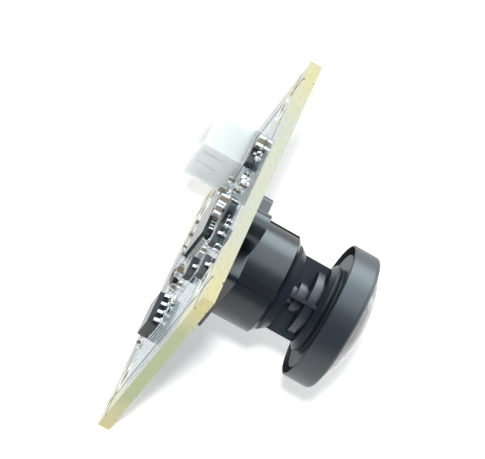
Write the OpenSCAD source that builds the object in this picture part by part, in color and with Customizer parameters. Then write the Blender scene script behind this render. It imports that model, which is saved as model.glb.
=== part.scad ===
// Board camera: a square circuit board that carries a wide-angle screw-in lens.
// Every module is drawn with the board lying flat: x and y run along its edges, z = 0 is its
// lens side and +z points out through the lens. stand() then sets the board upright, so the lens
// looks along -Y with +Z up and the origin stays on the lens axis at the board's lens side.

/* [Board] */
// Side of the square board
board_side = 38; // [34:0.5:44]
// Thickness of the board
board_thickness = 1.6; // [1:0.1:2]
// Distance between the mounting holes, both ways
hole_spacing = 28; // [26:0.5:29]
// Diameter of the mounting holes
hole_diameter = 2.2; // [2:0.1:2.6]
// Outer diameter of the plated rings round the mounting holes
ring_diameter = 3.2; // [2.9:0.1:3.6]
// Distance of the score lines from the board's edges
score_inset = 3; // [2.5:0.1:3.3]
// Width of the score lines, and twice their depth
score_width = 0.5; // [0.3:0.1:0.8]

/* [Lens holder] */
// Side of the holder's square base, and diameter of its round tower
holder_width = 13.7; // [13.2:0.1:14.5]
// Height of the base and of its two ears
base_height = 3.2; // [3:0.1:4]
// Height of the tower's top edge
holder_height = 8.95; // [8.8:0.05:9.2]
// Distance between the two screws that hold the holder
ear_spacing = 18; // [17.6:0.1:18.6]
// Diameter of the ears
ear_diameter = 4.5; // [4:0.1:5]
// Width of the four relief grooves in the tower
groove_width = 1.3; // [0.8:0.1:1.6]

/* [Lens] */
// Diameter of the lens thread, taken at its flanks
thread_diameter = 11.7; // [11.5:0.1:11.9]
// Height of the lens's back end
lens_back = 3; // [2.8:0.1:4]
// Diameter of the lens head
head_diameter = 18.6; // [18.3:0.1:19]
// Height of the head's back edge
head_back = 15.15; // [15.1:0.05:15.25]
// Height of the head's front face
head_front = 18.95; // [18.8:0.05:19.5]
// Diameter of the front glass
glass_diameter = 16.8; // [16:0.1:17]
// Radius of the front glass's outer surface
dome_radius = 16.5; // [14:0.5:20]
// Diameter of the four-webbed cage between collar and head
cage_diameter = 10.4; // [10:0.1:10.8]
// Thickness of a cage web
web_thickness = 0.5; // [0.4:0.1:1]
// Turn of the first cage web round the lens axis
web_turn = -56; // [-90:1:0]

/* [Connector] */
// Size of the connector housing along x, along y and in height
connector_size = [5.8, 8, 5.6]; // [3:0.1:10]
// Distance between neighbouring pins
pin_pitch = 1.5; // [1.2:0.05:1.6]

/* [Hidden] */
$fn = 64;

board_back = -board_thickness;
plating = 0.04;
holes_at = [for (x = [-1, 1], y = [-1, 1]) [x, y] * hole_spacing / 2];

holder_half = holder_width / 2;
tower_edge = 0.5;
ears_at = [for (y = [-1, 1]) [0, y * ear_spacing / 2]];
pocket_half = 5.6;
ledge_height = 2;
ledge_thickness = 0.6;
ledge_opening = 4.2;

screw_radius = 0.95;
screw_reach = 2.6;
screw_head_radius = 1.62;
screw_head_rim = 0.5;
screw_head_height = 0.85;
screw_dome_radius = 3.92;
screw_recess_depth = 0.4;
screw_clearance = 1.1;

sensor_height = 0.9;
cover_glass_height = 0.4;
filter_height = 0.3;

thread_radius = thread_diameter / 2;
collar_radius = 5.95;
collar_back = 9.4;
cage_back = 10.3;
cage_front = 14;
cage_radius = cage_diameter / 2;
flange_radius = 6.05;
flange_back = 14.6;
neck_back = 14.75;
neck_radius = 5.85;
plate_radius = 8.05;
plate_back = head_back + 0.3;
groove_depth = 1;
head_radius = head_diameter / 2;
stop_radius = 0.8;
rear_radius = 4.2;
third_radius = 2.8;
second_radius = 4.6;
glass_radius = glass_diameter / 2;
rear_seat = 8.4;
third_seat = 13;
second_seat = 14.5;
front_seat = 17;
dome_apex = 21.25;

connector_at = [-15.8, 2.8];
connector_wall = 0.6;
connector_floor = 1.3;
pin_side = 0.5;
pin_height = 4.7;
pin_tail = 0.9;
pin_hole_radius = 0.42;
pins_at = [for (i = [-1.5:1:1.5]) connector_at + [0, i * pin_pitch]];

// Packages: [body along x, body along y, body height, stand-off, lead span across y]
controller_pkg = [7, 7, 1, 0.1, 9];
controller_at = [-3.6, 1.1];
flash_pkg = [4.9, 3.9, 1.4, 0.1, 6];
flash_at = [7.25, 8.45];
regulator_pkg = [2.9, 1.3, 0.9, 0.06, 2.4];
regulators_at = [[-8.4, -9.95], [5.2, -11], [10.85, -12.2], [5.7, -2.65]];

// Chip parts: [x, y, turn]
small_chip = [1, 0.5, 0.5];
large_chip = [1.6, 0.8, 0.85];
tall_chip = [1.5, 0.9, 1.15];
flat_chip = [1, 0.5, 0.35];
small_capacitors = [
    [-5.4, -9.1, 90], [-3.8, -10.4, 90], [-5, -7.1, 90], [-11.3, 1, 0], [3.3, -5.9, 0],
    [3.2, -3.6, 0], [2.7, 7.9, 0], [5.4, 2.5, 0], [8, 15, 0], [-10.9, 12.6, 0], [-9.2, 13.3, 0],
    [-7.7, 13.5, 90], [-4.8, 11.5, 0]
];
large_capacitors = [[-9.9, -11.3, 0], [-10.4, 2.9, 0], [0.7, 6.85, 0]];
tall_capacitors = [[-4.6, -3.9, 0], [-2.95, -3.9, 0]];
resistors = [[-6.4, -9.1, 90], [-7.5, -11.9, 0], [4, -12.6, 0], [7.9, -12.6, 0]];

function chips() = concat(
    [for (c = small_capacitors) [c, small_chip]],
    [for (c = large_capacitors) [c, large_chip]],
    [for (c = tall_capacitors) [c, tall_chip]]
);
function flats() = [for (r = resistors) [r, flat_chip]];

// Sets a flat-drawn piece upright, lens towards -Y and the board's y edge downwards.
module stand() rotate([-90, 0, 180]) children();

// Places something on the board's component side, its own +z pointing away from the board.
module on_back(at, turn = 0)
    translate([at[0], at[1], board_back]) rotate([0, 180, 0]) rotate([0, 0, -turn]) children();

module block(size, z = 0) translate([-size[0] / 2, -size[1] / 2, z]) cube(size);

module rounded_plate(half, corner, height)
    linear_extrude(height) {
        square([2 * half, 2 * (half - corner)], center = true);
        square([2 * (half - corner), 2 * half], center = true);
        for (x = [-1, 1], y = [-1, 1])
            translate([x, y] * (half - corner)) circle(corner);
    }

module ball(radius, z) translate([0, 0, z]) sphere(radius, $fn = 96);

// One score line across the whole board, a V cut centred on its surface
module score_line(z)
    translate([0, 0, z]) rotate([90, 0, 0])
        linear_extrude(board_side + 2, center = true)
            polygon([[-score_width / 2, 0], [0, score_width / 2], [score_width / 2, 0], [0, -score_width / 2]]);

module circuit_board() color([0.8, 0.82, 0.68]) stand()
    difference() {
        union() {
            translate([0, 0, board_back]) block([board_side, board_side, board_thickness]);
            for (p = holes_at) translate([p[0], p[1], board_back - plating])
                cylinder(d = ring_diameter, h = board_thickness + 2 * plating);
        }
        for (p = holes_at) translate([p[0], p[1], board_back - 1])
            cylinder(d = hole_diameter, h = board_thickness + 2);
        for (p = ears_at) translate([p[0], p[1], board_back - 1])
            cylinder(r = screw_clearance, h = board_thickness + 2);
        for (p = pins_at) translate([p[0], p[1], board_back - 1])
            cylinder(r = pin_hole_radius, h = board_thickness + 2, $fn = 32);
        for (z = [0, board_back], turn = [0:90:270]) rotate(turn)
            translate([board_side / 2 - score_inset, 0, 0]) score_line(z);
    }

module lens_holder() color([0.1, 0.11, 0.12]) stand()
    difference() {
        union() {
            rounded_plate(holder_half, 1, base_height);
            for (p = ears_at) {
                translate(p) cylinder(d = ear_diameter, h = base_height);
                translate(p / 2) block([ear_diameter, norm(p), base_height]);
            }
            rotate_extrude($fn = 96) polygon([
                [0, 1], [holder_half, 1], [holder_half, holder_height - tower_edge],
                [thread_radius + 0.35, holder_height], [0, holder_height]
            ]);
        }
        translate([0, 0, -1]) rounded_plate(pocket_half, 0.6, ledge_height + 1);
        cylinder(r = ledge_opening, h = holder_height);
        translate([0, 0, ledge_height + ledge_thickness])
            cylinder(r = thread_radius, h = holder_height, $fn = 96);
        for (p = ears_at) translate([p[0], p[1], -1]) cylinder(r = screw_radius, h = screw_reach + 1.3);
        for (turn = [45:90:315]) rotate(turn)
            translate([holder_half - 0.3, -groove_width / 2, base_height]) cube([1, groove_width, holder_height]);
    }

module holder_screws() color([0.12, 0.12, 0.13]) stand()
    for (p = ears_at) on_back(p) difference() {
        union() {
            translate([0, 0, board_back - screw_reach]) cylinder(r = screw_radius, h = screw_reach - board_back);
            cylinder(r = screw_head_radius, h = screw_head_rim);
            intersection() {
                cylinder(r = screw_head_radius, h = screw_head_height);
                ball(screw_dome_radius, screw_head_height - screw_dome_radius);
            }
        }
        for (turn = [0, 90]) rotate(45 + turn)
            block([2, 0.42, 1], screw_head_height - screw_recess_depth);
    }

module image_sensor() color([0.16, 0.16, 0.17]) stand()
    difference() {
        block([9, 9, sensor_height]);
        block([7, 7, 1], 0.5);
    }

module sensor_cover_glass() color([0.7, 0.8, 0.78, 0.5]) stand()
    block([8.2, 8.2, cover_glass_height], sensor_height);

module infrared_filter() color([0.5, 0.75, 0.75, 0.5]) stand()
    block([9.6, 9.6, filter_height], ledge_height - filter_height);

module lens_barrel() color([0.28, 0.3, 0.32]) stand() {
    lip = 0.25;
    rotate_extrude($fn = 128) polygon([
        // bores, from the back to the front
        [rear_radius, lens_back], [rear_radius, rear_seat], [rear_radius - 1, rear_seat],
        [rear_radius - 1, rear_seat + 0.6], [stop_radius, rear_seat + 0.6], [stop_radius, third_seat],
        [third_radius, third_seat], [third_radius, second_seat], [second_radius, second_seat],
        [second_radius, 16.4], [5.4, 16.4], [5.4, front_seat], [glass_radius, front_seat],
        [glass_radius, head_front],
        // head with a rounded front edge; at the back a thin lip, a ring groove and a plate behind it
        [head_radius - 0.65, head_front], [head_radius - 0.3, head_front - 0.12],
        [head_radius - 0.08, head_front - 0.32], [head_radius, head_front - 0.6],
        [head_radius, head_back + 0.1], [head_radius - 0.1, head_back], [head_radius - lip, head_back],
        [head_radius - lip, head_back + groove_depth], [plate_radius, head_back + groove_depth],
        [plate_radius, plate_back], [neck_radius, plate_back], [neck_radius, neck_back],
        [flange_radius, neck_back], [flange_radius, flange_back], [cage_radius, cage_front],
        // stepped core inside the cage
        [3.6, cage_front], [3.6, 13.65], [4.3, 13.65], [4.3, 12.7], [1.8, 12.7], [1.8, 12.4], [2.15, 12.4],
        [2.15, 11.45], [1.35, 11.45], [1.35, cage_back],
        // conical collar and threaded shank
        [cage_radius, cage_back], [collar_radius, collar_back], [thread_radius, collar_back],
        [thread_radius, lens_back]
    ]);
    // four webs that reach from the core to the cage's outside
    intersection() {
        cylinder(r = cage_radius, h = head_back, $fn = 96);
        for (turn = [0:90:270]) rotate(web_turn + turn) rotate([90, 0, 0])
            linear_extrude(web_thickness, center = true) polygon([
                [1, cage_back], [cage_radius + 1, cage_back], [cage_radius + 1, cage_front], [3.2, cage_front],
                [3.2, third_seat - 0.15], [1, third_seat - 0.15]
            ]);
    }
}

module front_lens() color([0.7, 0.78, 0.76, 0.6]) stand()
    difference() {
        intersection() {
            translate([0, 0, front_seat]) cylinder(r = glass_radius, h = 6, $fn = 128);
            ball(dome_radius, dome_apex - dome_radius);
        }
        ball(6.2, dome_apex - 1.2 - 6.2);
    }

module second_lens() color([0.7, 0.75, 0.8, 0.6]) stand()
    difference() {
        intersection() {
            translate([0, 0, second_seat]) cylinder(r = second_radius, h = 3, $fn = 96);
            ball(14, 16.4 - 14);
        }
        ball(3.2, 12.6);
    }

module third_lens() color([0.7, 0.75, 0.8, 0.6]) stand()
    intersection() {
        translate([0, 0, third_seat]) cylinder(r = third_radius, h = 3);
        ball(6, 8.2);
    }

module rear_doublet() color([0.7, 0.75, 0.8, 0.6]) stand()
    difference() {
        union() {
            translate([0, 0, rear_seat - 2.6]) cylinder(r = rear_radius, h = 2.6, $fn = 96);
            intersection() {
                translate([0, 0, rear_seat - 1]) cylinder(r = 3.1, h = 3);
                ball(10.5, rear_seat + 0.5 - 10.5);
            }
        }
        ball(6.5, rear_seat - 1.8 - 6.5);
    }

module rear_lock_ring() color([0.1, 0.1, 0.1]) stand()
    translate([0, 0, rear_seat - 2.6 - 0.8]) difference() {
        cylinder(r = rear_radius, h = 0.8, $fn = 96);
        translate([0, 0, -1]) cylinder(r = 2.9, h = 3);
        for (turn = [0, 90]) rotate(turn) block([10, 0.8, 1], -0.6);
    }

module connector_housing() color([0.95, 0.96, 0.94]) stand()
    on_back(connector_at) difference() {
        block(connector_size);
        block([connector_size[0] - 2 * connector_wall, connector_size[1] - 2 * connector_wall, 9], connector_floor);
        for (i = [-1.5:1:1.5]) translate([0, i * pin_pitch, 0]) block([pin_side, pin_side, 9], -1);
        // two slits in one long wall
        for (y = [-2.1, 0.35]) translate([-connector_size[0] / 2 - 1, y - 0.3, connector_size[2] - 3.5])
            cube([2, 0.6, 2.8]);
    }

module connector_pins() color([0.85, 0.75, 0.45]) stand()
    for (p = pins_at) on_back(p)
        block([pin_side, pin_side, pin_height + board_thickness + pin_tail], board_back - pin_tail);

// Moulded package body with slightly tapered sides, parted at half height
module package(pkg) {
    half = pkg[2] / 2;
    taper = 0.08 * half;
    block([pkg[0] - 2 * taper, pkg[1] - 2 * taper, pkg[2]], pkg[3]);
    block([pkg[0], pkg[1], pkg[2] * 0.3], pkg[3] + pkg[2] * 0.35);
}

// Gull-wing lead that leaves a package side along +x at the height of the parting line
module lead(width, span, height, thick, foot)
    rotate([90, 0, 0]) linear_extrude(width, center = true) polygon([
        [0, height], [0, height + thick], [span - foot - thick * 0.6, height + thick],
        [span - foot + thick * 0.4, thick], [span, thick], [span, 0],
        [span - foot - thick * 0.6, 0], [span - foot - thick * 1.6, height]
    ]);

module side_leads(pkg, count, pitch, width, thick, foot)
    for (i = [0:count - 1])
        translate([(i - (count - 1) / 2) * pitch, pkg[1] / 2, 0]) rotate(90)
            lead(width, (pkg[4] - pkg[1]) / 2, pkg[3] + pkg[2] / 2 - thick / 2, thick, foot);

module video_controller() color([0.15, 0.16, 0.17]) stand() on_back(controller_at) package(controller_pkg);

module controller_leads() color([0.8, 0.8, 0.8]) stand() on_back(controller_at)
    for (turn = [0:90:270]) rotate(turn) side_leads(controller_pkg, 12, 0.5, 0.22, 0.12, 0.5);

module flash_memory() color([0.15, 0.16, 0.17]) stand() on_back(flash_at) package(flash_pkg);

module flash_leads() color([0.8, 0.8, 0.8]) stand() on_back(flash_at)
    for (turn = [0, 180]) rotate(turn) side_leads(flash_pkg, 4, 1.27, 0.42, 0.2, 0.5);

module regulator_packages() color([0.15, 0.16, 0.17]) stand()
    for (p = regulators_at) on_back(p) package(regulator_pkg);

module regulator_leads() color([0.8, 0.8, 0.8]) stand()
    for (p = regulators_at) on_back(p) {
        side_leads(regulator_pkg, 2, 1.9, 0.4, 0.14, 0.25);
        rotate(180) side_leads(regulator_pkg, 1, 1.9, 0.4, 0.14, 0.25);
    }

// Middles and end caps of the chip parts; each entry holds a place and a size
module chip_middles(parts, cap)
    for (c = parts) on_back(c[0], c[0][2])
        block([c[1][0] - 2 * cap * c[1][0], c[1][1], c[1][2]]);

module chip_ends(parts, cap)
    for (c = parts, side = [-1, 1]) on_back(c[0], c[0][2])
        translate([side * (0.5 - cap / 2) * c[1][0], 0, 0])
            block([cap * c[1][0], c[1][1] + 0.04, c[1][2] + 0.02]);

module capacitor_bodies() color([0.55, 0.47, 0.38]) stand() chip_middles(chips(), 0.24);

module capacitor_terminals() color([0.85, 0.85, 0.84]) stand() chip_ends(chips(), 0.24);

module resistor_bodies() color([0.1, 0.1, 0.1]) stand() chip_middles(flats(), 0.22);

module resistor_terminals() color([0.85, 0.85, 0.84]) stand() chip_ends(flats(), 0.22);

circuit_board();
lens_holder();
holder_screws();
image_sensor();
sensor_cover_glass();
infrared_filter();
lens_barrel();
front_lens();
second_lens();
third_lens();
rear_doublet();
rear_lock_ring();
connector_housing();
connector_pins();
video_controller();
controller_leads();
flash_memory();
flash_leads();
regulator_packages();
regulator_leads();
capacitor_bodies();
capacitor_terminals();
resistor_bodies();
resistor_terminals();
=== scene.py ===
import bmesh
import bpy
import numpy as np
from mathutils import Matrix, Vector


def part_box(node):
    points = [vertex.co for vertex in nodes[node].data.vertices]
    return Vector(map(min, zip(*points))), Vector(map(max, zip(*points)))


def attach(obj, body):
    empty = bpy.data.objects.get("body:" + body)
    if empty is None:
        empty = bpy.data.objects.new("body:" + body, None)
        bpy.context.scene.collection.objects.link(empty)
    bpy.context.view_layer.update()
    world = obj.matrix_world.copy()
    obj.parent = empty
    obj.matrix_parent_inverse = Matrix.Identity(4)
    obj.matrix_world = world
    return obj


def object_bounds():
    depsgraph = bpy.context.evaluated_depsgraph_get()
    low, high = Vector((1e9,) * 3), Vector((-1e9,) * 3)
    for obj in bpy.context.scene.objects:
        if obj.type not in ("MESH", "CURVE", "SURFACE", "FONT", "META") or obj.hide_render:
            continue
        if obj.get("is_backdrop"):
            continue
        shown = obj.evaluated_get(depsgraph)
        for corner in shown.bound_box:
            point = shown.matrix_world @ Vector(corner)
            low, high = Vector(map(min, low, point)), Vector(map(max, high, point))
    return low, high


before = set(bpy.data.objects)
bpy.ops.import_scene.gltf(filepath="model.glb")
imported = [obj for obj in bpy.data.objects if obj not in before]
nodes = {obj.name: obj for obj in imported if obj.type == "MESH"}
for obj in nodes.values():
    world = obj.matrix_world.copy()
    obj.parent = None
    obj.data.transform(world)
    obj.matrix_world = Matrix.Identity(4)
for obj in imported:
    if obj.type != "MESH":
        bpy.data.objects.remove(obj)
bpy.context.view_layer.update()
mm = 0.001
ringProud = 0.04  # the plated rings stand this far off the board
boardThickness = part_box("circuit_board")[1].y / mm - ringProud
buried = -0.02  # dressing starts this far inside what it sits on, so no gap shows under it
print("frame loaded:", len(nodes), "nodes")


def upright(x, y, height, side="back"):
    # flat (x, y, height over the board) becomes (-x, height out from that side, -y); back carries the chips
    depth = boardThickness + height if side == "back" else -height
    return np.stack(np.broadcast_arrays(-x, depth, -y), -1) * mm


def stance(right, back, place):
    # matrix of something that looks along -back; the part of right that lies along back is taken away
    back = np.array(back) / np.linalg.norm(back)
    right = np.array(right) - back * np.dot(right, back)
    right /= np.linalg.norm(right)
    turn = np.eye(4)
    turn[:3] = np.stack([right, np.cross(back, right), back, place], 1)
    return Matrix(turn.tolist())


def linear(hexColour):
    # sRGB to linear: c / 12.92 below 0.04045, otherwise ((c + 0.055) / 1.055) ** 2.4
    c = np.array([int(hexColour[i:i + 2], 16) for i in (1, 3, 5)]) / 255
    return (*np.where(c <= 0.04045, c / 12.92, ((c + 0.055) / 1.055) ** 2.4), 1.0)


def addNode(tree, kind, settings=None, links=None):
    # settings name a socket or a property of the node; links are {socket: (node, output)}
    node = tree.nodes.new("ShaderNode" + kind)
    for key, value in (settings or {}).items():
        if isinstance(key, int) or key in node.inputs:
            node.inputs[key].default_value = value
        else:
            setattr(node, key, value)
    for key, (source, output) in (links or {}).items():
        tree.links.new(source.outputs[output], node.inputs[key])
    return node


def startMaterial(name, **sockets):
    # an empty tree with its shader, output and object coordinates in place
    material = bpy.data.materials.new(name)
    material.use_nodes = True
    tree = material.node_tree
    tree.nodes.clear()
    shader = addNode(tree, "BsdfPrincipled", {key.replace("_", " "): value for key, value in sockets.items()})
    addNode(tree, "OutputMaterial", None, {"Surface": (shader, "BSDF")})
    return material, tree, shader, addNode(tree, "TexCoord")


# Camera
viewpoint = dict(place=(-0.205936, 0.042807, 0.308501), right=(0.34500, -0.86601, 0.36193),
                 back=(-0.56033, 0.11933, 0.81963), sensor=36.0, lens=221.47, nearest=0.01)


def placeCamera(look):
    # stands at place and looks along -back
    camera = bpy.data.objects.new("viewCamera", bpy.data.cameras.new("viewCamera"))
    camera.data.sensor_width = look["sensor"]
    camera.data.lens = look["lens"]
    camera.data.clip_start = look["nearest"]
    camera.matrix_world = stance(look["right"], look["back"], look["place"])
    bpy.context.scene.collection.objects.link(camera)
    bpy.context.scene.camera = camera
    bpy.context.scene.view_settings.view_transform = "Standard"


placeCamera(viewpoint)
print("camera placed")


# Finishes: grain and cloud are in mm; the real grain is finer and is drawn coarser so that it shows
bumpShare = 0.3  # a bump is this share of its grain


def speckle(tree, shader, coords, look):
    # grain moves roughness and height together, a slower cloud moves the colour
    grain = addNode(tree, "TexNoise", {"Scale": 1 / (look["grain"] * mm), "Detail": 3.0},
                    {"Vector": (coords, "Object")})
    cloud = addNode(tree, "TexNoise", {"Scale": 1 / (look["cloud"] * mm), "Detail": 2.0},
                    {"Vector": (coords, "Object")})
    tint = addNode(tree, "Mix", {"data_type": "RGBA", 6: linear(look["dark"]), 7: linear(look["light"])},
                   {0: (cloud, "Fac")})
    tree.links.new(tint.outputs[2], shader.inputs["Base Color"])
    rough = addNode(tree, "MapRange", {"To Min": look["rough"][0], "To Max": look["rough"][1]},
                    {"Value": (grain, "Fac")})
    tree.links.new(rough.outputs[0], shader.inputs["Roughness"])
    bump = addNode(tree, "Bump", {"Strength": look["bump"], "Distance": look["grain"] * mm * bumpShare},
                   {"Height": (grain, "Fac")})
    tree.links.new(bump.outputs[0], shader.inputs["Normal"])


finishes = dict(
    # moulded black nylon: spark-eroded grain with a soft sheen
    nylonBlackMoulded=dict(dark="#141a20", light="#1c242b", rough=(0.24, 0.34), grain=0.09, cloud=1.5,
                           bump=0.12, sockets={"IOR": 1.53}),
    # turned aluminium, bead blasted and black anodised: even satin with a cold tint
    aluminiumBlackAnodised=dict(dark="#1a222a", light="#242e38", rough=(0.36, 0.46), grain=0.06, cloud=2.5,
                                bump=0.12, sockets={"IOR": 1.62}),
    # thread behind the head: painted shade, near black with hardly any sheen, so it reads as the dark band that shade
    # makes in the notch there
    aluminiumThreadPaintedShade=dict(dark="#0b0d0f", light="#14171a", rough=(0.5, 0.65), grain=0.05, cloud=1.0,
                              bump=0.2, sockets={"IOR": 1.4}),
    # black oxide on steel: dark, with brighter worn patches
    steelBlackOxide=dict(dark="#1a1c1f", light="#33373b", rough=(0.22, 0.42), grain=0.12, cloud=0.35,
                         bump=0.3, sockets={"Metallic": 0.35}),
    # moulded epoxy packages: charcoal, finely pitted, pale where they are seen along the surface
    epoxyMoulded=dict(dark="#202427", light="#2e3338", rough=(0.2, 0.3), grain=0.05, cloud=0.8,
                      bump=0.12, sockets={"IOR": 1.58}),
    # undyed nylon: milky, light passes a little way in
    nylonNaturalMoulded=dict(dark="#d2dddd", light="#dce6e6", rough=(0.3, 0.42), grain=0.1, cloud=2.0,
                             bump=0.06, sockets={"IOR": 1.53, "Subsurface Weight": 1.0,
                                                 "Subsurface Scale": 0.003, "Subsurface Radius": (1, 1, 1)}),
    # tin over brass: warm and bright
    brassTinPlated=dict(dark="#c9b98a", light="#dcd0a8", rough=(0.18, 0.3), grain=0.1, cloud=0.6,
                        bump=0.1, sockets={"Metallic": 1.0}),
    # tinned copper: bright, with a slightly drawn surface
    copperTinned=dict(dark="#cdd0cf", light="#ecedec", rough=(0.28, 0.45), grain=0.12, cloud=0.5,
                      bump=0.25, sockets={"Metallic": 1.0}),
    # reflowed solder: mirror-like with dull patches
    solderReflowed=dict(dark="#d4d6d5", light="#f2f2f1", rough=(0.32, 0.48), grain=0.18, cloud=0.5,
                        bump=0.3, sockets={"Metallic": 1.0}),
    # fired ceramic of the capacitors: brown-grey, matte
    ceramicFired=dict(dark="#6a5f4b", light="#8d8068", rough=(0.4, 0.6), grain=0.08, cloud=0.4,
                      bump=0.2, sockets={"IOR": 1.6}),
    # resistor glaze, and the polished dimples of the packages: black and glossy
    glazeBlack=dict(dark="#0f1011", light="#191b1d", rough=(0.15, 0.3), grain=0.1, cloud=0.4,
                    bump=0.08, sockets={"IOR": 1.55}),
    # screen-printed ink: chalky and slightly raised
    inkScreenPrinted=dict(dark="#e2e6e5", light="#f7f9f8", rough=(0.5, 0.7), grain=0.1, cloud=0.6,
                          bump=0.3, sockets={"IOR": 1.5}),
    # solder mask where copper lies under it: shinier than over the bare laminate, and its pale colour is partly the
    # copper under the mask and partly a painted glint along the traces
    maskOverCopperPaintedGlint=dict(dark="#9fb2bc", light="#c6d3d9", rough=(0.05, 0.12), grain=0.3, cloud=0.9,
                        bump=0.02, sockets={"IOR": 1.6, "Metallic": 0.5}),
    # matte paper on a light table: its own glow keeps the shadows pale
    paperMatteWhite=dict(dark="#f5f5f5", light="#f9f9f9", rough=(0.85, 0.95), grain=2.0, cloud=30.0,
                         bump=0.02, sockets={"Specular IOR Level": 0.1, "Emission Strength": 0.32,
                                             "Emission Color": linear("#f7f7f7")}),
    # polished silicon under its cover glass: an even blue-grey
    siliconPolished=dict(dark="#33404a", light="#46545f", rough=(0.2, 0.3), grain=0.05, cloud=1.0,
                         bump=0.05, sockets={"IOR": 1.5}),
)
glasses = dict(
    # flat polished cover glass: clear, with hardly any tint
    glassFlat=dict(colour="#eef6f4", haze="#f5faf8", IOR=1.52),
    # filter glass with a thin coating: reads cyan
    glassCyanCoated=dict(colour="#bfe6e2", haze="#d8f0ee", IOR=1.52),
    # ground and polished lens glass: faint green at the edges
    glassLens=dict(colour="#c3d2cc", haze="#d3dfda", IOR=1.62),
)
glassDrift = 2.5  # mm from one tint of the glass to the next
laminateLook = dict(
    # score is painted shade: the V of each score line is drawn dark grey as if it lay in shadow
    tints=dict(maskBlue="#24404c", maskLight="#2e4c59", bareFace="#d2d2b6", score="#858c84",
               cream="#bfc0aa", yellow="#cfc384", green="#a6b285", plyDark="#989c80"),
    # mm: where the mask stops, a real ply's height, how long a ply's patches and the stains are,
    # where the cut edge turns yellow towards a corner, and the depth of the relief
    sizes=dict(scoreAt=16.0, scoreHalf=0.3, railStrip=10.0, holeAt=14.0, bareRadius=2.6, plyHeight=0.17,
               plyLength=10 / 11, stain=6.25, yellowFrom=9.5, yellowFull=16.5, relief=0.03),
    # how squarely a face or a cut edge looks along its axis, and how strongly plies and stains show
    faceSquare=0.72, edgeSquare=0.9, plyFrom=0.35, plyFull=0.75, plyMost=0.5, stainFloor=0.4,
    rough=dict(laminate=0.5, mask=0.1), bump=0.12)


def makeFinish(name, look):
    # speckle over the sockets that are the same all over
    material, tree, shader, coords = startMaterial(name, **look["sockets"])
    speckle(tree, shader, coords, look)
    return material


def makeGlass(name, look):
    # clear body with a slow drift of tint
    material, tree, shader, coords = startMaterial(name, Transmission_Weight=1.0, IOR=look["IOR"],
                                                   Roughness=0.0)
    drift = addNode(tree, "TexNoise", {"Scale": 1 / (glassDrift * mm)}, {"Vector": (coords, "Object")})
    tint = addNode(tree, "Mix", {"data_type": "RGBA", 6: linear(look["colour"]), 7: linear(look["haze"])},
                   {0: (drift, "Fac")})
    tree.links.new(tint.outputs[2], shader.inputs["Base Color"])
    return material


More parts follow.
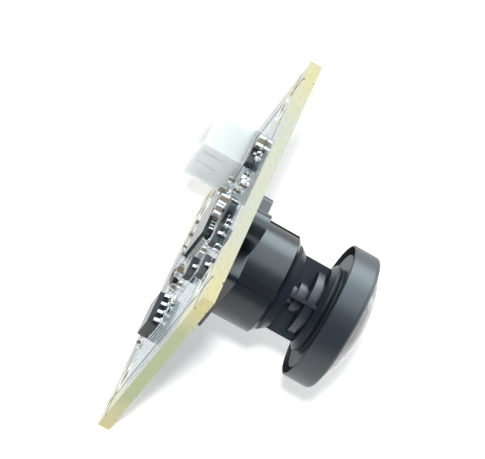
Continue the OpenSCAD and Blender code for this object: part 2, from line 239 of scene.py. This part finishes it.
def makeLaminate(look):
    # glass-filled epoxy: stacked cloth plies show on the cut edges, glossy mask covers both faces,
    # and the mask stops at the score lines, along the rails near the corners and round the mounting holes
    material, tree, shader, coords = startMaterial("glassEpoxyMaskedAndCut", IOR=1.5)
    tint = {name: linear(colour) for name, colour in look["tints"].items()}
    size = {name: length * mm for name, length in look["sizes"].items()}
    grown = dict(coords=coords, geometry=addNode(tree, "NewGeometry"))
    recipe = dict(
        # distance from both middle lines, and how squarely the surface looks along each axis
        place=("SeparateXYZ", {}, {0: ("coords", "Object")}),
        facing=("SeparateXYZ", {}, {0: ("geometry", "Normal")}),
        awayX=("Math", {"operation": "ABSOLUTE"}, {0: ("place", 0)}),
        awayZ=("Math", {"operation": "ABSOLUTE"}, {0: ("place", 2)}),
        faceX=("Math", {"operation": "ABSOLUTE"}, {0: ("facing", 0)}),
        faceY=("Math", {"operation": "ABSOLUTE"}, {0: ("facing", 1)}),
        faceZ=("Math", {"operation": "ABSOLUTE"}, {0: ("facing", 2)}),
        onFace=("Math", {"operation": "GREATER_THAN", 1: look["faceSquare"]}, {0: ("faceY", 0)}),
        sideways=("Math", {"operation": "MAXIMUM"}, {0: ("faceX", 0), 1: ("faceZ", 0)}),
        offEdge=("Math", {"operation": "LESS_THAN", 1: look["edgeSquare"]}, {0: ("sideways", 0)}),
        outer=("Math", {"operation": "MAXIMUM"}, {0: ("awayX", 0), 1: ("awayZ", 0)}),
        inner=("Math", {"operation": "MINIMUM"}, {0: ("awayX", 0), 1: ("awayZ", 0)}),
        # score lines, which don't run over the cut edges
        scoreX=("Math", {"operation": "COMPARE", 1: size["scoreAt"], 2: size["scoreHalf"]}, {0: ("awayX", 0)}),
        scoreZ=("Math", {"operation": "COMPARE", 1: size["scoreAt"], 2: size["scoreHalf"]}, {0: ("awayZ", 0)}),
        eitherScore=("Math", {"operation": "MAXIMUM"}, {0: ("scoreX", 0), 1: ("scoreZ", 0)}),
        scored=("Math", {"operation": "MULTIPLY"}, {0: ("eitherScore", 0), 1: ("offEdge", 0)}),
        # bare strips of the rails near the corners
        beyond=("Math", {"operation": "GREATER_THAN", 1: size["scoreAt"]}, {0: ("outer", 0)}),
        cornerward=("Math", {"operation": "GREATER_THAN", 1: size["railStrip"]}, {0: ("inner", 0)}),
        strip=("Math", {"operation": "MULTIPLY"}, {0: ("beyond", 0), 1: ("cornerward", 0)}),
        # bare rings round the mounting holes
        offX=("Math", {"operation": "SUBTRACT", 1: size["holeAt"]}, {0: ("awayX", 0)}),
        offZ=("Math", {"operation": "SUBTRACT", 1: size["holeAt"]}, {0: ("awayZ", 0)}),
        offset=("CombineXYZ", {}, {0: ("offX", 0), 1: ("offZ", 0)}),
        reach=("VectorMath", {"operation": "LENGTH"}, {0: ("offset", 0)}),
        ringed=("Math", {"operation": "LESS_THAN", 1: size["bareRadius"]}, {0: ("reach", 1)}),
        # the mask is what is left of the two faces
        open=("Math", {"operation": "MAXIMUM"}, {0: ("strip", 0), 1: ("ringed", 0)}),
        bare=("Math", {"operation": "MAXIMUM"}, {0: ("open", 0), 1: ("scored", 0)}),
        covered=("Math", {"operation": "SUBTRACT", 0: 1.0}, {1: ("bare", 0)}),
        masked=("Math", {"operation": "MULTIPLY"}, {0: ("onFace", 0), 1: ("covered", 0)}),
        # plies: noise squeezed along the board's thickness
        squeezed=("Mapping", {"Scale": (1 / size["plyLength"], 1 / size["plyHeight"], 1 / size["plyLength"])},
                  {0: ("coords", "Object")}),
        plies=("TexNoise", {"Scale": 1.0, "Detail": 3.0}, {0: ("squeezed", 0)}),
        stain=("TexNoise", {"Scale": 1 / size["stain"], "Detail": 2.0}, {0: ("coords", "Object")}),
        # the upright cut sides are greener, and the edges turn yellower towards the corners
        corner=("MapRange", {"From Min": size["yellowFrom"], "From Max": size["yellowFull"]},
                {0: ("inner", 0)}),
        middle=("Math", {"operation": "SUBTRACT", 0: 1.0}, {1: ("corner", 0)}),
        greenish=("Math", {"operation": "MULTIPLY"}, {0: ("faceX", 0), 1: ("middle", 0)}),
        edgeTint=("Mix", {"data_type": "RGBA", 6: tint["cream"], 7: tint["green"]}, {0: ("greenish", 0)}),
        stained=("Math", {"operation": "ADD", 1: look["stainFloor"]}, {0: ("stain", 0)}),
        yellowish=("Math", {"operation": "MULTIPLY"}, {0: ("corner", 0), 1: ("stained", 0)}),
        warmTint=("Mix", {"data_type": "RGBA", 7: tint["yellow"]}, {0: ("yellowish", 0), 6: ("edgeTint", 2)}),
        plyShare=("MapRange", {"From Min": look["plyFrom"], "From Max": look["plyFull"],
                               "To Max": look["plyMost"]}, {0: ("plies", 0)}),
        plied=("Mix", {"data_type": "RGBA", 7: tint["plyDark"]}, {0: ("plyShare", 0), 6: ("warmTint", 2)}),
        # the colours of the bare face, the painted shade of the score lines and the mask go over one another
        faceTint=("Mix", {"data_type": "RGBA", 7: tint["bareFace"]}, {0: ("onFace", 0), 6: ("plied", 2)}),
        scoreShadeTint=("Mix", {"data_type": "RGBA", 7: tint["score"]}, {0: ("scored", 0), 6: ("faceTint", 2)}),
        maskTint=("Mix", {"data_type": "RGBA", 6: tint["maskBlue"], 7: tint["maskLight"]}, {0: ("stain", 0)}),
        colour=("Mix", {"data_type": "RGBA"}, {0: ("masked", 0), 6: ("scoreShadeTint", 2), 7: ("maskTint", 2)}),
        rough=("MapRange", {"To Min": look["rough"]["laminate"], "To Max": look["rough"]["mask"]},
               {0: ("masked", 0)}),
        relief=("Mix", {"data_type": "FLOAT"}, {0: ("masked", 0), 2: ("plies", 0), 3: ("stain", 0)}),
        bump=("Bump", {"Strength": look["bump"], "Distance": size["relief"]}, {"Height": ("relief", 0)}),
    )
    for name, (kind, settings, links) in recipe.items():
        sources = {key: (grown[source], output) for key, (source, output) in links.items()}
        grown[name] = addNode(tree, kind, settings, sources)
    tree.links.new(grown["colour"].outputs[2], shader.inputs["Base Color"])
    tree.links.new(grown["rough"].outputs[0], shader.inputs["Roughness"])
    tree.links.new(grown["bump"].outputs[0], shader.inputs["Normal"])
    return material


made = {name: makeFinish(name, look) for name, look in finishes.items()}
made.update({name: makeGlass(name, look) for name, look in glasses.items()})
made["glassEpoxyMaskedAndCut"] = makeLaminate(laminateLook)

nodeFinish = dict(
    circuit_board="glassEpoxyMaskedAndCut", lens_holder="nylonBlackMoulded", holder_screws="steelBlackOxide",
    image_sensor="siliconPolished", sensor_cover_glass="glassFlat", infrared_filter="glassCyanCoated",
    lens_barrel="aluminiumBlackAnodised", front_lens="glassLens", second_lens="glassLens", third_lens="glassLens",
    rear_doublet="glassLens", rear_lock_ring="aluminiumBlackAnodised", connector_housing="nylonNaturalMoulded",
    connector_pins="brassTinPlated", video_controller="epoxyMoulded", controller_leads="copperTinned",
    flash_memory="epoxyMoulded", flash_leads="copperTinned", regulator_packages="epoxyMoulded",
    regulator_leads="copperTinned", capacitor_bodies="ceramicFired", capacitor_terminals="solderReflowed",
    resistor_bodies="glazeBlack", resistor_terminals="solderReflowed")
for nodeName, finishName in nodeFinish.items():
    mesh = nodes[nodeName].data
    mesh.materials.clear()
    mesh.materials.append(made[finishName])
print("finishes set on", len(nodeFinish), "nodes")


# Floor, sky and lamps, in metres; the key only casts light, the boxes only show in gloss
studio = dict(
    floorHalf=1.5, skyDark=0.17, skyLight=0.98, boxTint=(0.78, 0.93, 1.0),
    lamps=dict(
        keyLamp=dict(towards=(-0.43, 0.18, 0.885), distance=0.9, size=(0.08, 0.08), radiance=360.0, gloss=False),
        sideBox=dict(towards=(0.80, -0.10, 0.60), distance=0.6, size=(0.4, 0.7), radiance=7.2, gloss=True),
        topBox=dict(towards=(0.16, -0.10, 0.98), distance=0.6, size=(0.46, 0.7), radiance=3.0, gloss=True),
        frontBox=dict(towards=(0.35, -0.88, 0.32), distance=0.7, size=(0.6, 0.6), radiance=2.0, gloss=True)))


def buildFloor(look):
    # flat paper under the board's lower edge
    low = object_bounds()[0].z
    edge = look["floorHalf"]
    mesh = bpy.data.meshes.new("studioFloor")
    corners = [(-edge, -edge, low), (edge, -edge, low), (edge, edge, low), (-edge, edge, low)]
    mesh.from_pydata(corners, [], [(0, 1, 2, 3)])
    mesh.materials.append(made["paperMatteWhite"])
    floor = bpy.data.objects.new("studioFloor", mesh)
    bpy.context.scene.collection.objects.link(floor)
    floor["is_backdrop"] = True


def buildSky(look):
    # white, darker towards -X
    world = bpy.data.worlds.new("studioSky")
    bpy.context.scene.world = world
    world.use_nodes = True
    sky = world.node_tree
    direction = addNode(sky, "SeparateXYZ", None, {"Vector": (addNode(sky, "TexCoord"), "Generated")})
    glow = addNode(sky, "MapRange", {"From Min": -1.0, "From Max": 1.0, "To Min": look["skyDark"],
                                     "To Max": look["skyLight"]}, {"Value": (direction, "X")})
    sky.links.new(glow.outputs[0], sky.nodes["Background"].inputs["Strength"])
    sky.nodes["Background"].inputs["Color"].default_value = (1, 1, 1, 1)


def hangLamp(name, lamp, boxTint):
    # energy is radiance * pi * area, the area being that of an ellipse
    light = bpy.data.lights.new(name, "AREA")
    light.shape = "ELLIPSE"
    light.size, light.size_y = lamp["size"]
    light.color = boxTint if lamp["gloss"] else (1, 1, 1)
    light.energy = lamp["radiance"] * np.pi * np.pi / 4 * lamp["size"][0] * lamp["size"][1]
    holder = bpy.data.objects.new(name, light)
    aim = np.array(lamp["towards"]) / np.linalg.norm(lamp["towards"])
    holder.matrix_world = stance(np.cross((0, 1, 0), aim), aim, aim * lamp["distance"])
    holder.visible_camera = False
    holder.visible_glossy = lamp["gloss"]
    holder.visible_diffuse = not lamp["gloss"]
    bpy.context.scene.collection.objects.link(holder)


buildFloor(studio)
buildSky(studio)
for lampName, lamp in studio["lamps"].items():
    hangLamp(lampName, lamp, studio["boxTint"])
print("studio ready")


# Surface makers: every surface is a grid of points over two parameters
weldDistance = 2e-7
ribbonSection = np.array([-0.5, -0.38, 0.38, 0.5])  # shares of the width: foot, shoulder, shoulder, foot


def gridFaces(shape, wrapU, wrapV):
    # quads between neighbours of an (nu, nv) grid, closing a direction that wraps
    index = np.arange(shape[0] * shape[1]).reshape(shape)
    a = index if wrapU else index[:-1]
    b = np.roll(index, -1, 0) if wrapU else index[1:]
    if wrapV:
        quads = np.stack([a, b, np.roll(b, -1, 1), np.roll(a, -1, 1)], -1)
    else:
        quads = np.stack([a[:, :-1], b[:, :-1], b[:, 1:], a[:, 1:]], -1)
    return quads.reshape(-1, 4)


def makePiece(name, grids, finishName, sharpAngle=35):
    # grids: list of (points (copies, nu, nv, 3) in metres, wrapU, wrapV); doubles are merged, normals face out
    verts, faces, start = [], [], 0
    for points, wrapU, wrapV in grids:
        copies, nu, nv, _ = points.shape
        offset = start + np.arange(copies)[:, None, None] * nu * nv
        faces.append((gridFaces((nu, nv), wrapU, wrapV)[None] + offset).reshape(-1, 4))
        verts.append(points.reshape(-1, 3))
        start += copies * nu * nv
    mesh = bpy.data.meshes.new(name)
    mesh.from_pydata(np.concatenate(verts).tolist(), [], np.concatenate(faces).tolist())
    shell = bmesh.new()
    shell.from_mesh(mesh)
    bmesh.ops.remove_doubles(shell, verts=shell.verts, dist=weldDistance)
    bmesh.ops.recalc_face_normals(shell, faces=shell.faces)
    shell.to_mesh(mesh)
    shell.free()
    mesh.polygons.foreach_set("use_smooth", [True] * len(mesh.polygons))
    mesh.set_sharp_from_angle(angle=np.radians(sharpAngle))
    piece = bpy.data.objects.new(name, mesh)
    bpy.context.scene.collection.objects.link(piece)
    mesh.materials.append(made[finishName])
    print("piece", name, "with", len(mesh.polygons), "faces")
    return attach(piece, "root")


def mound(centres, halves, rings, corner=0.06, steps=3):
    # rounded rectangles stacked in rings of (outset, height) and closed by poles at the centre;
    # a ring is centre + sign * (half + outset - radius) + radius * (cos, sin), a quarter turn at each corner
    centres, halves = np.atleast_2d(centres).astype(float), np.atleast_2d(halves).astype(float)
    halves = np.broadcast_to(halves, centres.shape)
    quarter = np.linspace(0, np.pi / 2, steps)
    angle = np.concatenate([quarter + k * np.pi / 2 for k in range(4)])
    signs = np.repeat(np.array([[1, 1], [-1, 1], [-1, -1], [1, -1]]), steps, 0)
    outset, height = np.array(rings, float).T[:, None, :, None]
    halfX, halfY = halves[:, 0, None, None] + outset, halves[:, 1, None, None] + outset
    radius = np.minimum(corner + np.maximum(outset, 0), np.minimum(halfX, halfY))
    x = centres[:, 0, None, None] + signs[:, 0] * (halfX - radius) + radius * np.cos(angle)
    y = centres[:, 1, None, None] + signs[:, 1] * (halfY - radius) + radius * np.sin(angle)
    pole = np.broadcast_to(centres[:, None, None, :], (len(centres), 1, len(angle), 2))
    x = np.concatenate([pole[..., 0], x, pole[..., 0]], 1)
    y = np.concatenate([pole[..., 1], y, pole[..., 1]], 1)
    height = np.concatenate([height[:, :1], height, height[:, -1:]], 1)
    return upright(x, y, height), False, True


def turned(centres, profile, steps=24, side="back", loop=False):
    # profile of (radius, height) turned about each centre: centre + radius * (cos, sin) at that height;
    # it starts and ends at radius 0, or closes on itself
    centres = np.atleast_2d(centres).astype(float)
    angle = np.linspace(0, 2 * np.pi, steps, endpoint=False)
    radius, height = np.array(profile, float).T
    x = centres[:, 0, None, None] + radius[:, None] * np.cos(angle)
    y = centres[:, 1, None, None] + radius[:, None] * np.sin(angle)
    return upright(x, y, height[None, :, None], side), loop, True


def ribbon(corners, width, top, closed=False, side="back"):
    # trapezoid section carried along a flat polyline: corner + mitred normal * share * width,
    # with the ends of an open one drawn to a pole
    path = np.array(corners, float)
    step = np.roll(path, -1, 0) - path
    if not closed:
        step[-1] = step[-2]
    step /= np.linalg.norm(step, axis=1, keepdims=True)
    before = np.roll(step, 1, 0)
    if not closed:
        before[0] = step[0]
    normal = np.stack([-(step + before)[:, 1], (step + before)[:, 0]], 1)
    normal /= (normal * np.stack([-step[:, 1], step[:, 0]], 1)).sum(1, keepdims=True)  # 1 / cos(half turn) long
    x = path[:, 0, None] + normal[:, 0, None] * ribbonSection * width
    y = path[:, 1, None] + normal[:, 1, None] * ribbonSection * width
    height = np.broadcast_to(np.array([buried, top, top, buried]), x.shape)
    if not closed:
        x, y = (np.concatenate([flat[:1].mean(1, keepdims=True).repeat(4, 1), flat,
                                flat[-1:].mean(1, keepdims=True).repeat(4, 1)]) for flat in (x, y))
        height = np.concatenate([np.full((1, 4), buried), height, np.full((1, 4), buried)])
    return upright(x, y, height, side)[None], closed, True


def bundle(lanes, corners, perLane, width, top, side="back"):
    # side-by-side ribbons: each lane moves the corners on by perLane
    return [ribbon(np.array(corners) + lane * np.array(perLane), width, top, side=side) for lane in range(lanes)]


# Places on the board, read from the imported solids
footLift = 0.03  # points lower than this belong to a foot


def solidsOf(node):
    # splits a CAD node into its solids: labels spread over shared points, which agree to 0.0001 mm,
    # until nothing changes
    mesh = nodes[node].data
    points = np.zeros(len(mesh.vertices) * 3, np.float32)
    mesh.vertices.foreach_get("co", points)
    points = points.reshape(-1, 3) / mm
    mesh.calc_loop_triangles()
    tris = np.zeros(len(mesh.loop_triangles) * 3, np.int32)
    mesh.loop_triangles.foreach_get("vertices", tris)
    merged = np.unique(np.round(points, 4), axis=0, return_inverse=True)[1].reshape(-1)
    tris = merged[tris].reshape(-1, 3)
    label, settled = np.arange(merged.max() + 1), False
    while not settled:
        spread = label.copy()
        np.minimum.at(spread, tris.reshape(-1), label[tris].min(1).repeat(3))
        label, settled = spread, (spread == label).all()
    flat = np.stack([-points[:, 0], -points[:, 2], points[:, 1] - boardThickness], 1)  # x, y, height
    return [flat[label[merged] == k] for k in np.unique(label[merged])]


def feetOf(node):
    # centre and half size of the rectangle in which each solid of a node stands on the component side
    feet = [flat[flat[:, 2] < footLift, :2] for flat in solidsOf(node)]
    low, high = np.array([foot.min(0) for foot in feet]), np.array([foot.max(0) for foot in feet])
    return (low + high) / 2, (high - low) / 2


leadFeet = {name: feetOf(name) for name in ("controller_leads", "flash_leads", "regulator_leads")}
chipFeet = {kind: feetOf(kind + "_terminals") for kind in ("capacitor", "resistor")}
bodyFeet = {kind: feetOf(kind + "_bodies") for kind in ("capacitor", "resistor")}
pinPlaces = np.array([(flat[:, :2].min(0) + flat[:, :2].max(0)) / 2 for flat in solidsOf("connector_pins")])
holeAt = laminateLook["sizes"]["holeAt"]
holePlaces = np.array([[x, y] for x in (-holeAt, holeAt) for y in (-holeAt, holeAt)])
packages = {name: [(flat.min(0), flat.max(0)) for flat in solidsOf(name)]
            for name in ("video_controller", "flash_memory", "connector_housing")}
print("feet found:", sum(len(c) for c, _ in (*leadFeet.values(), *chipFeet.values())))

# Plating: one closed sleeve per mounting hole that lines the bore and covers both rings
sleeve = dict(bore=1.085, rim=1.60, edge=1.635, shoulder=0.02, proud=0.055, steps=64)
farTop, farShoulder = -boardThickness - sleeve["proud"], -boardThickness - sleeve["shoulder"]
makePiece("holePlating", [turned(holePlaces, [
    (sleeve["bore"], sleeve["proud"]), (sleeve["rim"], sleeve["proud"]), (sleeve["edge"], sleeve["shoulder"]),
    (sleeve["edge"], farShoulder), (sleeve["rim"], farTop), (sleeve["bore"], farTop)],
    steps=sleeve["steps"], loop=True)], "copperTinned")

# Solder: a flat pad, and a fillet whose outset falls off as it rises, a hollow curve like wetted solder
wetted = dict(padTop=0.045, padEdge=0.6, padInset=-0.02, spread=0.09, shoulder=0.85, waist=0.35,
              waistHeight=0.62, tip=0.02)
padRings = [(0.0, buried), (0.0, wetted["padTop"] * wetted["padEdge"]), (wetted["padInset"], wetted["padTop"])]


def filletRings(climb):
    # rings of (outset, height) from the pad up to the height of the climb
    return [(wetted["spread"], buried), (wetted["spread"], wetted["padTop"] * wetted["padEdge"]),
            (wetted["spread"] * wetted["shoulder"], wetted["padTop"]),
            (wetted["spread"] * wetted["waist"], climb * wetted["waistHeight"]), (wetted["tip"], climb)]


# Solder at the leads: the fillet climbs the foot and closes inside it
leadFillet = dict(across=0.03, along=0.17, padCorner=0.05, corner=0.04, steps=2, sameSize=1e-4,
                  climb=dict(controller_leads=0.1, flash_leads=0.17, regulator_leads=0.11))
leadGrids = []
for name, (centres, halves) in leadFeet.items():
    longer = halves >= halves.max(1, keepdims=True) - leadFillet["sameSize"]
    grown = halves + np.where(longer, leadFillet["along"], leadFillet["across"])
    rings = filletRings(leadFillet["climb"][name])
    leadGrids += [mound(centres, grown, padRings, leadFillet["padCorner"], leadFillet["steps"]),
                  mound(centres, halves, rings, leadFillet["corner"], leadFillet["steps"])]
makePiece("leadSolder", leadGrids, "solderReflowed", sharpAngle=60)

# Solder at the chip parts: pads moved outwards from the body they belong to, fillets up the end faces
chipFillet = dict(padShift=0.07, padMargin=0.1, shift=0.04, climb=dict(capacitor=0.3, resistor=0.2))
chipGrids = []
for kind, climb in chipFillet["climb"].items():
    centres, halves = chipFeet[kind]
    middles = bodyFeet[kind][0]
    nearest = middles[np.linalg.norm(centres[:, None] - middles, axis=2).argmin(1)]
    outward = (centres - nearest) / np.linalg.norm(centres - nearest, axis=1, keepdims=True)
    chipGrids += [mound(centres + outward * chipFillet["padShift"], halves + chipFillet["padMargin"], padRings),
                  mound(centres + outward * chipFillet["shift"], halves, filletRings(climb))]
makePiece("chipSolder", chipGrids, "solderReflowed", sharpAngle=60)

# Header pins: a pad and a cone of solder on the lens side, sagging inwards like a bell
bell = dict(steps=28, profile=[(0, buried), (0.72, buried), (0.72, 0.03), (0.66, 0.05), (0.52, 0.14), (0.43, 0.3),
                               (0.38, 0.5), (0.3, 0.6), (0, 0.62)])
makePiece("pinSolder", [turned(pinPlaces, bell["profile"], bell["steps"], "front")],
          "solderReflowed", sharpAngle=50)

# Threads: zigzag between root and crest radius, at the collar and behind the head
thread = dict(pitch=0.5, steps=96, slack=1e-6, collar=dict(low=8.4, high=9.4, root=5.84, crest=6.03, core=5.7),
              neck=dict(low=14.76, high=15.44, root=5.86, crest=5.97, core=5.75))


def zigzag(turn):
    # crest and root alternate every half pitch, then the profile runs back along the core
    heights = np.arange(turn["low"], turn["high"] + thread["slack"], thread["pitch"] / 2)
    radii = np.where(np.arange(len(heights)) % 2 == 0, turn["root"], turn["crest"])
    profile = [(turn["core"], turn["low"]), *zip(radii, heights), (turn["core"], heights[-1])]
    return [turned([[0, 0]], profile, thread["steps"], "front", True)]


makePiece("collarThread", zigzag(thread["collar"]), "aluminiumBlackAnodised", sharpAngle=20)
# the neck thread carries painted shade: a near-black band where the notch behind the head lies in shade
makePiece("neckThreadPaintedShade", zigzag(thread["neck"]), "aluminiumThreadPaintedShade", sharpAngle=20)

# Copper under the mask, chip side: a bus down the side away from the header, runs between the parts,
# a feeder to the header, and a fan that leaves every lead of the controller and turns off by 45 degrees
traceTop = 0.045
backCopper = dict(
    runs=dict(
        bus=dict(width=0.68, lanes=5, corners=[(8.3, -8.2), (9.9, -6.6), (9.9, 12.2)], perLane=[(1.24, -0.4)] * 3),
        inner=dict(width=0.34, lanes=7, corners=[(2.2, -9.3), (2.2, -6.4), (4.0, -4.6), (4.0, 5.4)],
                   perLane=[(0.55, 0), (0.55, -0.25), (0.55, -0.25), (0.55, 0)]),
        header=dict(width=0.34, lanes=4, corners=[(-12.6, 0.5), (-11.8, 0.5), (-10.3, 2.0), (-8.8, 2.0)],
                    perLane=[(0, 1.5), (0.3, 1.5), (0.3, 1.5), (0, 1.5)]),
        headerSide=dict(width=0.34, lanes=5, corners=[(-14.6, -10.9), (-14.6, -5.5), (-12.4, -3.3), (-8.6, -3.3)],
                        perLane=[(0.55, 0), (0.55, -0.55), (0.55, -0.55), (0, -0.55)]),
        lower=dict(width=0.34, lanes=3, corners=[(-13, 7.6), (-13, 10.5), (-11, 12.5), (6.5, 12.5)],
                   perLane=[(0.6, 0), (0.6, -0.6), (0.6, -0.6), (-1.2, -0.6)]),
        lowerShort=dict(width=0.34, lanes=1, corners=[(-11.2, 7.6), (-11.2, 8.7), (-9.2, 10.7), (-2.2, 10.7)],
                        perLane=[(0, 0)] * 4)),
    fan=dict(width=0.16, start=0.1, straight=0.8, stagger=0.25, staggers=3, jog=0.4))
fan = backCopper["fan"]
footCentres = leadFeet["controller_leads"][0]
fromMiddle = footCentres - footCentres.mean(0)
away = np.where(np.abs(fromMiddle[:, :1]) > np.abs(fromMiddle[:, 1:]), [1, 0], [0, 1]) * np.sign(fromMiddle)
aside = np.sign(fromMiddle) - away
straight = fan["straight"] + fan["stagger"] * (np.arange(len(footCentres)) % fan["staggers"])[:, None]
fanCorners = np.stack([footCentres + fan["start"] * away, footCentres + straight * away,
                       footCentres + (straight + fan["jog"]) * away + fan["jog"] * aside], 1)
backGrids = [grid for run in backCopper["runs"].values() for grid in bundle(**run, top=traceTop)]
backGrids += [ribbon(corners, fan["width"], traceTop) for corners in fanCorners]
makePiece("backTraces", backGrids, "maskOverCopperPaintedGlint", sharpAngle=20)

# Copper under the mask: staggered links on one rail of the chip side, and runs round the holder on the lens side
frontCopper = dict(
    links=dict(width=0.16, x=17.2, stagger=0.35, length=1.5, low=-9, high=9, pitch=2.1),
    runs=dict(
        belowHolder=dict(width=0.3, lanes=5, corners=[(-8.5, 8.0), (-8.5, 10.5), (-6.3, 12.7), (-2.5, 12.7)],
                         perLane=[(0.6, 0), (0.6, 0.5), (0.6, 0.5), (0.6, 0.5)]),
        header=dict(width=0.34, lanes=4, corners=[(-12.5, 0.5), (-9.8, 0.5), (-8.2, -1.1), (-7.2, -1.1)],
                    perLane=[(0, 1.5)] * 4)),
    beside=dict(width=0.3, starts=(-4.2, 1.0, 6.4), corners=[(8.0, 0), (11.5, 0), (13.2, -1.7), (13.2, -4.5)]))
links, beside = frontCopper["links"], frontCopper["beside"]
linkStarts = [(links["x"] + links["stagger"] * (k % 2), y)
              for k, y in enumerate(np.arange(links["low"], links["high"], links["pitch"]))]
frontGrids = [ribbon([(x, y), (x, y + links["length"])], links["width"], traceTop) for x, y in linkStarts]
frontGrids += [grid for run in frontCopper["runs"].values() for grid in bundle(**run, top=traceTop, side="front")]
frontGrids += [ribbon(np.array(beside["corners"]) + (0, y), beside["width"], traceTop, side="front")
               for y in beside["starts"]]
makePiece("frontAndRailTraces", frontGrids, "maskOverCopperPaintedGlint", sharpAngle=20)

# Vias: tented rings with a dimple
via = dict(
    steps=16, profile=[(0, -0.01), (0.29, -0.01), (0.29, 0.035), (0.25, 0.048), (0.14, 0.048), (0.11, 0.0), (0, 0.0)],
    back=[(8.6, -6.2), (9.6, 1.6), (8.9, 4.6), (10.6, 12.2), (12.9, 9.9), (6.6, 13.4), (3.3, 12.3), (1.1, 10.2),
          (-1.4, 9.4), (-7.9, 8.8), (-9.8, 7.1), (-12.2, 9.6), (-13.4, -2.6), (-12.1, -6.4), (-9.9, -5.4),
          (-6.4, -13.6), (-1.2, -12.4), (1.3, -10.1), (2.2, -14.1), (7.9, -8.6), (12.4, -9.6), (13.6, -4.9),
          (14.7, 1.8), (2.1, 4.5), (0.2, -7.4), (-9.5, -0.6)],
    front=[(9.6, -9.4), (11.8, 4.1), (-10.4, -4.2), (-9.3, 11.9), (3.2, -10.4), (1.1, 12.1), (12.9, 11.1),
           (-3.6, -11.6), (14.6, -7.3)])
makePiece("vias", [turned(via[side], via["profile"], via["steps"], side) for side in ("back", "front")],
          "copperTinned")

# Bare pads for parts that aren't fitted, test points, and one solder blob that bridges a pair of pads
bare = dict(
    pads=[(3.4, -0.6), (4.5, -0.6), (3.4, 0.9), (4.5, 0.9), (3.4, 4.4), (4.5, 4.4), (6.9, 4.6), (8.0, 4.6),
          (-1.2, 12.9), (0.2, 12.9)],
    padHalf=[0.32, 0.36], padCorner=0.08, padRings=[(0.0, buried), (0.0, 0.03), (-0.05, 0.06), (-0.16, 0.1)],
    blob=[(7.5, 2.6)], blobHalf=[0.62, 0.42], blobCorner=0.3,
    blobRings=[(0.0, buried), (0.0, 0.04), (-0.06, 0.18), (-0.2, 0.3), (-0.36, 0.36)],
    points=[(-11.2, -8.6), (-11.2, -7.1), (8.4, 13.6), (11.2, -5.2), (0.9, 14.6)],
    pointProfile=[(0, buried), (0.5, buried), (0.5, 0.03), (0.44, 0.06), (0.25, 0.09), (0, 0.1)],
    frontPoints=[(-12.4, -9.6), (12.2, -11.4), (10.4, 12.6)],
    frontProfile=[(0, buried), (0.55, buried), (0.55, 0.03), (0.48, 0.06), (0, 0.08)])
makePiece("emptyPads", [mound(bare["pads"], bare["padHalf"], bare["padRings"], bare["padCorner"]),
                        mound(bare["blob"], bare["blobHalf"], bare["blobRings"], bare["blobCorner"]),
                        turned(bare["points"], bare["pointProfile"]),
                        turned(bare["frontPoints"], bare["frontProfile"], side="front")],
          "solderReflowed", sharpAngle=60)

# Silk screen: outlines round the packages, the header and the screws, and corner ticks; no lettering
silk = dict(width=0.15, top=0.055, hoopSteps=48, aroundFlash=(0.3, 1.3), headerLow=(0.0, 0.35), headerHigh=0.35,
            holeHoop=1.95, tick=0.9, tickGap=1.25, collarHoop=11.4, holderHalf=7.3, headerFront=0.2)


def inked(corners, closed=False, side="back"):
    # a printed line through the corners
    return ribbon(corners, silk["width"], silk["top"], closed, side)


def outline(low, high, side="back"):
    # a printed rectangle from its lowest to its highest corner
    x0, y0, x1, y1 = *low, *high
    return inked([(x0, y0), (x1, y0), (x1, y1), (x0, y1)], True, side)


def hoop(centre, radius, side="back"):
    # a printed circle: centre + radius * (cos, sin)
    angle = np.linspace(0, 2 * np.pi, silk["hoopSteps"], endpoint=False)
    corners = np.stack([centre[0] + radius * np.cos(angle), centre[1] + radius * np.sin(angle)], 1)
    return inked(corners, True, side)


inks = [outline(low[:2] - silk["aroundFlash"], high[:2] + silk["aroundFlash"])
        for low, high in packages["flash_memory"]]
headerLow, headerHigh = (corner[:2] for corner in packages["connector_housing"][0])
inks += [outline(headerLow - silk["headerLow"], headerHigh + silk["headerHigh"])]
inks += [hoop(place, silk["holeHoop"]) for place in holePlaces]
chipLow, chipHigh = packages["video_controller"][0]
tickLow, tickHigh = chipLow[:2] - silk["tickGap"], chipHigh[:2] + silk["tickGap"]
for x, inwards in ((tickLow[0], silk["tick"]), (tickHigh[0], -silk["tick"])):
    inks += [inked([(x, tickLow[1]), (x, tickLow[1] + silk["tick"])]),
             inked([(x, tickHigh[1]), (x, tickHigh[1] - silk["tick"])]),
             inked([(x, tickLow[1]), (x + inwards, tickLow[1])]),
             inked([(x, tickHigh[1]), (x + inwards, tickHigh[1])])]
holderHalf = silk["holderHalf"]
inks += [hoop((0, 0), silk["collarHoop"], "front"),
         outline((-holderHalf, -holderHalf), (holderHalf, holderHalf), "front"),
         outline(headerLow - silk["headerFront"], headerHigh + silk["headerFront"], "front")]
makePiece("silkScreen", inks, "inkScreenPrinted", sharpAngle=20)

# Pin-one marks pressed into the packages: shallow discs that read as polished dimples
dimple = dict(profile=[(0, buried), (0.32, buried), (0.32, 0.006), (0.28, 0.008), (0, 0.004)],
              inset=dict(video_controller=0.75, flash_memory=0.6))
for name, inset in dimple["inset"].items():
    low, high = packages[name][0]
    marks = turned([low[:2] + inset], [(radius, high[2] + height) for radius, height in dimple["profile"]])
    makePiece(name + "PinMark", [marks], "glazeBlack")
